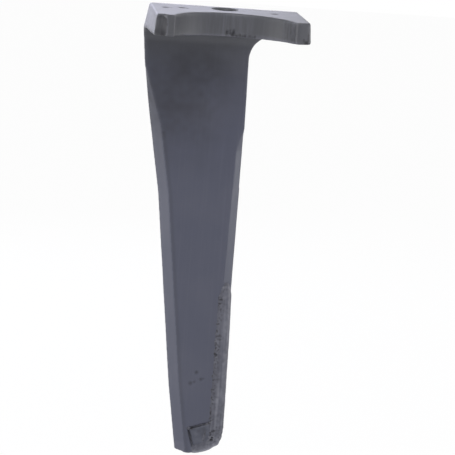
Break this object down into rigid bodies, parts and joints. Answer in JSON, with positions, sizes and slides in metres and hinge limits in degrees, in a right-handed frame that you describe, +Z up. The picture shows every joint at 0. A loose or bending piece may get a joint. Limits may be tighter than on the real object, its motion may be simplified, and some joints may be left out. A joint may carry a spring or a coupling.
{
  "type": "power harrow tine",
  "caption": "Forged harrow tine: a tapered blade bent down from a drilled head with a round hub seat, a hard weld bead along its lower leading edge and a wear tile in its tip.",
  "frame": {"origin": "on the bolt hole's axis, at the head's flat top face", "axes": "+Z up along the bolt hole, away from the blade's tip; +X along the head to its leading end; -Y towards the hub that the round seat hugs"},
  "size_m": [0.1063, 0.0905, 0.3269],
  "materials": {
    "forged_steel": "semi-matte dark grey over forged steel",
    "hard_tile": "semi-matte dark grey over a hard tile",
    "weld_metal": "rough dark grey over weld metal"
  },
  "bodies": {
    "root": {"forged_tine": "forged_steel", "tip_wear_tile": "hard_tile", "hardfacing_bead": "weld_metal"}
  },
  "joints": []
}
